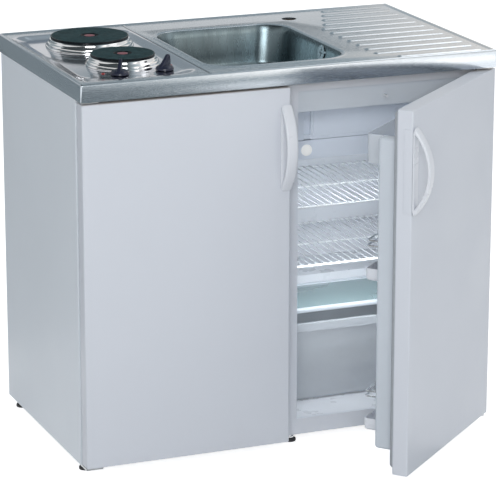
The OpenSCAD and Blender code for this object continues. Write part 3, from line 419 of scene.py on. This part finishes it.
def hotplate(name, at, d, node):
    """Cast plate with turned grooves, its dark edge and underside, and the red dot in its middle."""
    t, r = TRAY_Z + PLATE_H, d / 2
    hub_r, hub_z = 13.6, t - 1.4
    face_in, face_out = (20.8, t - 0.4), (r - 2.2, t - 0.5)
    face = [face_in, (22.5, t)]
    g, pitch, half, depth = 26.0, 4.2, 0.6, 0.18     # turned grooves
    while g < r - 8:
        face += [(g, t), (g + half, t - depth), (g + 2 * half, t)]
        g += pitch
    face += [(r - 3.2, t), face_out]
    hub = [(0, hub_z), (hub_r, hub_z)]
    under = [face_out, (r - 0.8, t - 0.5), (r, t - 1.6), (r, t - 5.7), (r - 7, t - 5.9), (r - 7, t - 28),
             (r - 11, t - 30), (0, t - 30)]
    moat = [(hub_r, hub_z), (14.2, t - 3.1), (19.6, t - 3.1), face_in]
    dot = [(0, t - 1.15), (11.5, t - 1.15), (12.2, hub_z)]
    piece(name, [turned(at, face, 128), turned(at, hub, 64)], "plate_iron", stands_for=(node,),
          sharp=25)
    piece(name + "_edge", [turned(at, under, 128), turned(at, moat, 64)], "plate_edge",
          sharp=25)
    piece(name + "_dot", [turned(at, dot, 40)], "plate_dot")


def spill_ring(name, at, d, node):
    """Polished ring that steps down from the plate's rim to the tray."""
    r = d / 2
    steps = ((-6.6, RING_H - 0.9), (-6.6, RING_H), (1, RING_H), (2.2, RING_H - 0.7), (2.9, RING_H - 2.5),
             (3.2, 14.6), (4.6, 12.6), (6.6, 11.6), (8.2, 9.8), (8.8, 7.2), (9.0, 5.4), (10.4, 4.6),
             (11.6, 3.2), (12, 1.4), (12, 0.1), (11.2, 0.1))
    piece(name, [turned(at, [(r + g, TRAY_Z + h) for g, h in steps], 128)], "polished_steel",
          stands_for=(node,), sharp=50)


hotplate("rear_plate", rear_at, rear_d, "rear_hotplate")
hotplate("front_plate", front_at, front_d, "front_hotplate")
spill_ring("rear_ring", rear_at, rear_d, "rear_spill_ring")
spill_ring("front_ring", front_at, front_d, "front_spill_ring")


def knob(name, at, node, body, turn):
    """Round skirt with a blade that narrows upwards, high at one end and low at the other."""
    z = TRAY_Z + 1
    skirt = ((0, 0), (19.5, 0), (20.5, 0.8), (20.4, 4), (19.2, 6.5), (16, 9), (11, 11), (6, 12), (0, 12.2))
    blade = ((-18, 6), (18, 6), (18.4, 20), (17.6, 29), (15, 32.4), (11, 33), (7.5, 31.6), (0, 24),
             (-9, 16), (-16, 11))
    taper = 0.35                                 # share of its thickness that the blade loses upwards
    rings = []
    for w, k in ((-4.6, 0.94), (-4.2, 0.985), (-3.2, 1.0), (0, 1.0), (3.2, 1.0), (4.2, 0.985), (4.6, 0.94)):
        rings.append([(u * k, w * (1 - taper * max(0, (h - 8) / 26)), 10 + (h - 10) * k) for u, h in blade])
    v, f = loft(rings, True, True)
    c, s = math.cos(math.radians(turn)), math.sin(math.radians(turn))
    v = [(at[0] + p[0] * c - p[1] * s, at[1] + p[0] * s + p[1] * c, z + p[2]) for p in v]
    piece(name, [turned(at, [(r, z + h) for r, h in skirt], 64), (v, f)], "knob_plastic", body, (node,),
          50)


knob("left_grip", knobs[0], "left_knob", "left_control", 62)
knob("right_grip", knobs[1], "right_knob", "right_control", 35)
lens = ((0, 2.4), (2.6, 2.2), (4.2, 1.4), (5, 0.1), (3.8, 0), (3.8, -12), (0, -12))
for i, p in enumerate(lamps):
    piece("pilot_%d" % i, [turned(p, [(r, TRAY_Z + h) for r, h in lens], 32)], "lamp_red",
          stands_for=("pilot_lamps",) if i == 0 else ())

# ---------- doors and handles ----------

FACE, BACK, DOOR_Z = -597.0, -560.0, (24.0, 856.0)   # both doors, drawn closed
SKIN_Y = (-563, -561)                          # inner skin of the cupboard door
HANDLE_Z, HANDLE_HALF, HANDLE_IN = (618.0, 822.0), 13, 11.5   # half width, middle from the door's edge
BOW_OUT, GAP_OUT, GAP_END, PAD_T = 43, 30, 20, 5
WRAP_T, WRAP_REACH = 1.5, 20                   # the part of the handle that lies over the door's edge
cup_x, fri_x = (-497.0, -8.0), (8.0, 497.0)    # cupboard door and refrigerator door


def door_panel(name, x, node, body, door):
    piece(name, [slab(x, (FACE, BACK), DOOR_Z, 4.0, 2.4, 8)], "door_paint", body, (node,), 50,
          door=door)


def handle(name, edge_x, side, node, body, door):
    """Bow handle: one closed loft round the finger gap, with a pad on the face and a wrap over the edge."""
    z0, z1 = HANDLE_Z
    g0, g1 = z0 + GAP_END, z1 - GAP_END
    zm, half, gap = (z0 + z1) / 2, (z1 - z0) / 2, (g1 - g0) / 2
    bow_r = (half ** 2 + BOW_OUT ** 2) / (2 * BOW_OUT)
    gap_r = (gap ** 2 + GAP_OUT ** 2) / (2 * GAP_OUT)
    low, length = z0 + 4, z1 - z0 - 8
    outer, inner = [], []
    n = 26
    for i in range(n + 1):                       # bow, from the lower to the upper end
        t = i / n
        z = low + length * t
        outer.append((FACE - BOW_OUT + bow_r - math.sqrt(bow_r ** 2 - (z - zm) ** 2), z))
        zi = g0 + (g1 - g0) * (0.25 - 0.25 * math.cos(math.pi * t) + 0.5 * t)
        inner.append((FACE - PAD_T - GAP_OUT + gap_r - math.sqrt(max(0, gap_r ** 2 - (zi - zm) ** 2)), zi))
    for i in range(1, n):                        # pad, back down along the door
        t = i / n
        outer.append((FACE, low + length * (1 - t)))
        inner.append((FACE - PAD_T, g1 - (g1 - g0) * t))
    cx = edge_x + side * HANDLE_IN
    rings = []
    for (yo, zo), (yi, zi) in zip(outer, inner):
        ring = []
        for k in range(24):
            a = 2 * math.pi * k / 24
            c, s = math.cos(a), math.sin(a)
            u = math.copysign(abs(c) ** 0.55, c)             # across, in X
            w = 0.5 + 0.5 * math.copysign(abs(s) ** 0.7, s)  # from the gap to the outside
            ring.append((cx + HANDLE_HALF * u * side, yi + (yo - yi) * w, zi + (zo - zi) * w))
        rings.append(ring)
    wrap_x = (edge_x - WRAP_T, edge_x) if side > 0 else (edge_x, edge_x + WRAP_T)
    wrap = slab(wrap_x, (FACE - 0.4, FACE + WRAP_REACH), (z0 + 8, z1 - 8), 0.6, 0.5, 3)
    piece(name, [loft(rings, loop=True)], "white_plastic", body, (node,), 55, door=door)
    piece(name + "_wrap", [wrap], "door_paint", body, (), 55, door=door)


door_panel("cupboard_panel", cup_x, "cupboard_door_shell", "cupboard_door", False)
door_panel("fridge_panel", fri_x, "fridge_door_shell", "fridge_door", True)
handle("cupboard_bow", cup_x[1], -1, "cupboard_handle", "cupboard_door", False)
handle("fridge_bow", fri_x[0], 1, "fridge_handle", "fridge_door", True)
piece("cupboard_inner", [upright((-495.8, -9.2), SKIN_Y, (25.2, 854.8), 4, 0.6)], "white_plastic",
      "cupboard_door", ())

# ---------- refrigerator interior ----------

flap_x, slot_x = (39.0, 451.0), (88.0, 105.0)  # the slot is the finger recess at the flap's left
flap_y, flap_z = (-448.5, -440), (693.4, 777)
flap_axis = (-445, 700)
lamp_at, dial_at = (96, 669), (380, 669)
piece("flap_panel", [upright((flap_x[0], slot_x[0]), flap_y, flap_z, 3, 1.6),
                     upright((slot_x[1], flap_x[1]), flap_y, flap_z, 3, 1.6),
                     upright(slot_x, (-442, -440.2), (697, 775), 0.5, 0.4),
                     upright(slot_x, (-448, -440.4), (695.4, 706), 0.5, 0.4),
                     upright(slot_x, (-448, -440.4), (767, 776.6), 0.5, 0.4),
                     upright((slot_x[1] + 6, 447), (-450, -447), (701, 772), 8, 1.4),
                     rod([(36.2, *flap_axis), (453.8, *flap_axis)], 2.4)],
      "cool_plastic", "freezer_flap", ("freezer_flap",), 50)
piece("housing_shell", [upright((36, 454), (-445, -379), (647, 691.6), 3, 1.2)], "cool_plastic", "unit",
      ("control_housing",), 50)
piece("lamp_cover", [along_y(*lamp_at, -445, [(13, -0.2), (13, 1.6), (11, 2.5), (7, 2.9), (0, 3.1)], 48)],
      "lamp_glass", "unit", ("lamp",))
piece("dial_cap", [along_y(*dial_at, -445.4, [(0, -16), (3, -16), (3, 0), (15, 0), (16, 0.8), (15.6, 7),
                                              (14.6, 10), (13.4, 10.6), (0, 10.6)], 64),
                   upright((378.2, 381.8), (-457.4, -455.6), (672, 683), 1.2, 0.5)],
      "white_plastic", "thermostat_dial", ("thermostat_dial",), 40)

shelf_x = (40, 450)                            # glass shelf and drawer
piece("glass_trims", [slab(shelf_x, y, (278.2, 287.8), 3, 2.5) for y in ((-446, -432), (-259, -246))],
      "liner_plastic", "unit", ("shelf_trims",), 50)
piece("drawer_tub", [tub(shelf_x, (-440, -253), (62.3, 252.3), 2.5, 12, 6, 2),
                     slab(shelf_x, (-446, -439.6), (231, 252.3), 3, 2)],
      "clear_plastic", "crisper_drawer", ("crisper_drawer",), 50)

# ---------- refrigerator door, inner side ----------

ridges = [slab(x, (-561.5, -500), (65, 780), 9, 8, 6, 6) for x in ((45, 75), (408, 438))]
piece("door_inner", [upright((9.4, 495.6), (-562, -560.2), (25.4, 854.6), 4, 0.5), *ridges,
                     slab((70, 412), (-561.5, -501.5), (65, 79), 5, 4)],
      "liner_plastic", "fridge_door", ("fridge_door_liner",), 50, door=True)
rack_x, rack_y, rack_z, rack_h = (75.3, 407.7), (BACK, -460.0), (94, 444), 28
piece("rack_trays", [tub(rack_x, rack_y, (z, z + rack_h), 2.5, 10, 6) for z in rack_z],
      "white_plastic", "fridge_door", ("door_racks",), 50, door=True)
piece("balcony_tub", [tub(rack_x, rack_y, (708, 778), 2.5, 10, 6)],
      "clear_plastic", "fridge_door", ("door_balcony",), 50, door=True)
rail_x, rail_y, rail_up = (77.6, 405.4), -463, (80, 92)   # two rails above each rack's floor
rails = []
for z in [low + up for low in rack_z for up in rail_up]:
    corners = [(rail_x[0], BACK, z), (rail_x[0], rail_y, z), (rail_x[1], rail_y, z), (rail_x[1], BACK, z)]
    rails.append(rod(bent(corners, 8), 1.9))
piece("rack_rails", rails, "polished_steel", "fridge_door", (), 60, door=True)
seal_x, seal_z = (13.0, 477.0), (35.0, 850.0)
seal = [[(p[0], BACK + out, p[1]) for p in rrect(*grown(seal_x, seal_z, -d), max(1.0, 12 - d * 0.7), 0, 6)]
        for d, out in ((0, 0), (0.4, 5), (3, 8.6), (7, 9.0), (11, 8.6), (13.6, 5), (14, 0))]
piece("door_seal", [loft(seal)],
      "seal_rubber", "fridge_door", ("door_gasket",), 50, door=True)

# ---------- feet ----------

feet_at = [(x, y) for x in (-478, 24, 478) for y in (-525, -60)]
pad = [(0, 0), (13, 0), (14, 1), (14, 5.6), (12.6, 7.6), (9, 8.2), (0, 8.4)]
stem = [(0, 8), (8.6, 8.2), (9, 8.8), (9, 12.4), (8.6, 13), (5, 13.1), (5, 22), (0, 22)]
piece("foot_pads", [turned(p, pad, 40) for p in feet_at],
      "black_plastic", "unit", ("feet",), 40)
piece("foot_stems", [turned(p, stem, 40) for p in feet_at],
      "polished_steel", "unit", (), 40)


# ---------- stage ----------

def empty_tree(block):
    block.use_nodes = True
    block.node_tree.nodes.clear()
    return block.node_tree


def seen_rays(nt):
    """1 on the rays that see the background: straight, glossy or through something clear."""
    lp = nt.nodes.new("ShaderNodeLightPath")
    out = lp.outputs["Is Camera Ray"]
    for kind in ("Is Glossy Ray", "Is Transmission Ray"):
        mx = nt.nodes.new("ShaderNodeMath")
        mx.operation = "MAXIMUM"
        nt.links.new(out, mx.inputs[0])
        nt.links.new(lp.outputs[kind], mx.inputs[1])
        out = mx.outputs[0]
    return out


def lying(x, y, z):
    """Corners of a level rectangle."""
    return [(x[0], y[0], z), (x[1], y[0], z), (x[1], y[1], z), (x[0], y[1], z)]


def standing(x, y, z):
    """Corners of an upright rectangle that faces along Y."""
    return [(x[0], y, z[0]), (x[1], y, z[0]), (x[1], y, z[1]), (x[0], y, z[1])]


def sheet(name, corners, mat):
    """Flat four-cornered object, in metres."""
    mesh = bpy.data.meshes.new(name)
    mesh.from_pydata(corners, [], [(0, 1, 2, 3)])
    o = bpy.data.objects.new(name, mesh)
    bpy.context.scene.collection.objects.link(o)
    mesh.materials.append(mat)
    return o


def floor_material():
    """Diffuse, with a glow on the rays that see it, so that it ends without a line in the white world."""
    m = bpy.data.materials.new("floor")
    nt = empty_tree(m)
    out = nt.nodes.new("ShaderNodeOutputMaterial")
    dif = nt.nodes.new("ShaderNodeBsdfDiffuse")
    nt.links.new(mixed(nt, noise(nt, 0.6), (0.80, 0.80, 0.80), (0.84, 0.84, 0.84)), dif.inputs["Color"])
    em = nt.nodes.new("ShaderNodeEmission")
    em.inputs["Strength"].default_value = 0.80
    add = nt.nodes.new("ShaderNodeAddShader")
    mix = nt.nodes.new("ShaderNodeMixShader")
    nt.links.new(dif.outputs[0], add.inputs[0])
    nt.links.new(em.outputs[0], add.inputs[1])
    nt.links.new(seen_rays(nt), mix.inputs[0])
    nt.links.new(dif.outputs[0], mix.inputs[1])
    nt.links.new(add.outputs[0], mix.inputs[2])
    nt.links.new(mix.outputs[0], out.inputs["Surface"])
    return m


floor_reach, floor_z = (-30, 30), -0.0005
floor = sheet("floor", lying(floor_reach, floor_reach, floor_z), floor_material())

world = bpy.context.scene.world or bpy.data.worlds.new("world")
bpy.context.scene.world = world
wn = empty_tree(world)
wout = wn.nodes.new("ShaderNodeOutputWorld")
soft = wn.nodes.new("ShaderNodeBackground")
soft.inputs["Color"].default_value = (0.92, 0.965, 1.0, 1)
soft.inputs["Strength"].default_value = 0.54
white = wn.nodes.new("ShaderNodeBackground")
white.inputs["Strength"].default_value = 1.0
wmix = wn.nodes.new("ShaderNodeMixShader")
wn.links.new(seen_rays(wn), wmix.inputs[0])
wn.links.new(soft.outputs[0], wmix.inputs[1])
wn.links.new(white.outputs[0], wmix.inputs[2])
wn.links.new(wmix.outputs[0], wout.inputs["Surface"])


def flag(name, corners, tones):
    """Studio screen, seen only in reflections; its tone runs from its left end to its right end."""
    m = bpy.data.materials.new(name)
    nt = empty_tree(m)
    out = nt.nodes.new("ShaderNodeOutputMaterial")
    em = nt.nodes.new("ShaderNodeEmission")
    co = nt.nodes.new("ShaderNodeTexCoord")
    xyz = nt.nodes.new("ShaderNodeSeparateXYZ")
    mr = nt.nodes.new("ShaderNodeMapRange")
    xs = [c[0] for c in corners]
    mr.inputs["From Min"].default_value, mr.inputs["From Max"].default_value = min(xs), max(xs)
    nt.links.new(co.outputs["Object"], xyz.inputs[0])
    nt.links.new(xyz.outputs["X"], mr.inputs["Value"])
    ramp = nt.nodes.new("ShaderNodeValToRGB")
    ramp.color_ramp.elements[0].color = (*tones[0], 1)
    ramp.color_ramp.elements[1].color = (*tones[-1], 1)
    for i, t in enumerate(tones[1:-1]):
        ramp.color_ramp.elements.new((i + 1) / (len(tones) - 1)).color = (*t, 1)
    nt.links.new(mr.outputs[0], ramp.inputs[0])
    nt.links.new(ramp.outputs[0], em.inputs["Color"])
    nt.links.new(em.outputs[0], out.inputs["Surface"])
    o = sheet(name, corners, m)
    o.visible_camera = o.visible_diffuse = o.visible_shadow = o.visible_transmission = False


def grey(*values):
    """Bluish tones."""
    return [(v * 0.83, v * 0.97, v * 1.04) for v in values]


def bright(*values):
    """Tones that look neutral in the bluish steel."""
    return [(v * 1.06, v, v * 0.94) for v in values]


room = grey(0.24, 0.24, 0.24, 0.26, 0.60) + bright(2.2, 2.6)
low_z = 0.002                                  # just above the floor
flag("ceiling_flag", lying((-6, 1.15), (-7, 1.4), 3.4), grey(0.06, 0.06, 0.06, 0.06, 0.10, 0.70))
flag("front_flag", lying((-2, 2.6), (-7, -2.4), low_z), room)
flag("near_flag", lying((-2, 0.35), (-2.4, -0.62), low_z), grey(0.24, 0.26))
flag("room_flag", standing((-3, 3.6), -7, (0, 3.4)), room)
flag("side_flag", lying((-9, -0.6), (0.4, 6), low_z), grey(0.30, 0.30))
flag("corner_flag", standing((-9, -0.7), 5.5, (0, 2.4)), grey(0.30, 0.30))
flag("horizon_flag", standing((-0.6, 5), 2.5, (0, 1.20)), grey(0.30, 0.30))
flag("back_flag", standing((-0.7, 1.3), 0.2, (1.02, 2.4)),
     grey(0.38, 0.38, 0.38, 0.38, 0.40, 0.42, 0.50) + bright(0.85, 1.0, 1.05, 1.05))


# ---------- light and camera ----------

def area(name, at, to, size, watts, col=(1, 1, 1)):
    d = bpy.data.lights.new(name, "AREA")
    d.shape = "RECTANGLE"
    d.size, d.size_y = size
    d.energy = watts
    d.color = col
    o = bpy.data.objects.new(name, d)
    bpy.context.scene.collection.objects.link(o)
    o.location = at
    o.rotation_mode = "QUATERNION"
    o.rotation_quaternion = (Vector(to) - Vector(at)).to_track_quat("-Z", "Y")


cold = (0.94, 0.99, 1.0)
area("key", (-1.7, -4.6, 2.3), (0, -0.4, 0.5), (2.0, 2.0), 82)
area("fill", (3.4, -3.0, 2.0), (0.2, -0.4, 0.5), (2.0, 2.0), 5)
area("cold_lamp", (0.24, -0.43, 0.64), (0.25, -0.20, 0.35), (0.34, 0.06), 0.66, cold)
area("cold_low", (0.24, -0.50, 0.40), (0.25, -0.30, 0.10), (0.34, 0.05), 0.50, cold)
area("overhead", (1.8, 0.1, 3.3), (1.8, 0.1, 0), (1.1, 2.8), 14)

CAMERA_AT = (-2.38888, -6.18516, 2.21242)
CAMERA_TURN = (-22.2232, 15.7808, 0.0543)      # azimuth, elevation and roll in degrees
cam_data = bpy.data.cameras.new("camera")
cam_data.sensor_fit = "HORIZONTAL"
cam_data.sensor_width = 36.0
cam_data.lens = 202.09
cam_data.clip_end = 100
cam = bpy.data.objects.new("camera", cam_data)
bpy.context.scene.collection.objects.link(cam)
az, el, roll = (math.radians(a) for a in CAMERA_TURN)
back = Vector((math.sin(az) * math.cos(el), -math.cos(az) * math.cos(el), math.sin(el)))
right = Vector((0, 0, 1)).cross(back).normalized()
up = back.cross(right)
rolled_right = right * math.cos(roll) + up * math.sin(roll)
rolled_up = up * math.cos(roll) - right * math.sin(roll)
turn = Matrix((rolled_right, rolled_up, back)).transposed().to_4x4()
cam.matrix_world = Matrix.Translation(CAMERA_AT) @ turn
bpy.context.scene.camera = cam
bpy.context.scene.view_settings.view_transform = "Standard"
